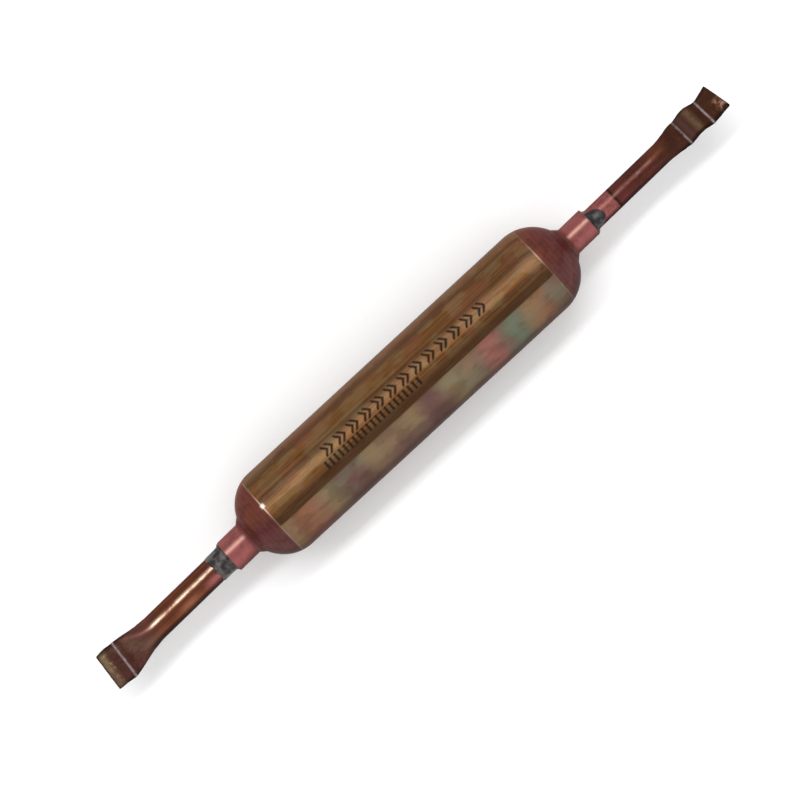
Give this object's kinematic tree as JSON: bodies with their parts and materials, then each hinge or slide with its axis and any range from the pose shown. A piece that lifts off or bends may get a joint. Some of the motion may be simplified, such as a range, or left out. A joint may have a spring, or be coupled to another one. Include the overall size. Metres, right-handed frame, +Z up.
{
  "type": "filter_drier",
  "caption": "Pencil-type filter drier: spun copper shell with necked ends, brazed copper stub tubes pinched shut, and a desiccant bed between dished screens",
  "frame": {"origin": "Middle of the shell's straight cylinder, on its axis", "axes": "X runs along the shell's axis towards the outlet (the smaller tube), Z is up through the side seen in the source view, Y completes a right-handed frame"},
  "size_m": [0.1777, 0.02, 0.02],
  "materials": {
    "tinted_copper": "Spun copper under a thin olive-brown and pinkish heat tint, satin with soft lengthwise highlights",
    "tarnished_copper": "Drawn copper tube, tarnished by brazing heat to maroon and orange-brown with worn yellowish patches",
    "braze_alloy": "Uneven dark grey braze with a dull scaled surface",
    "brass": "Plain rolled brass",
    "wire_mesh": "Fine woven stainless wire",
    "desiccant": "Matt pale tan molecular-sieve beads"
  },
  "bodies": {
    "root": {"shell": "tinted_copper", "inlet_tube": "tarnished_copper", "outlet_tube": "tarnished_copper", "inlet_braze": "braze_alloy", "outlet_braze": "braze_alloy", "inlet_screen_ring": "brass", "outlet_screen_ring": "brass", "inlet_screen": "wire_mesh", "outlet_screen": "wire_mesh", "desiccant_bed": "desiccant"}
  },
  "joints": []
}
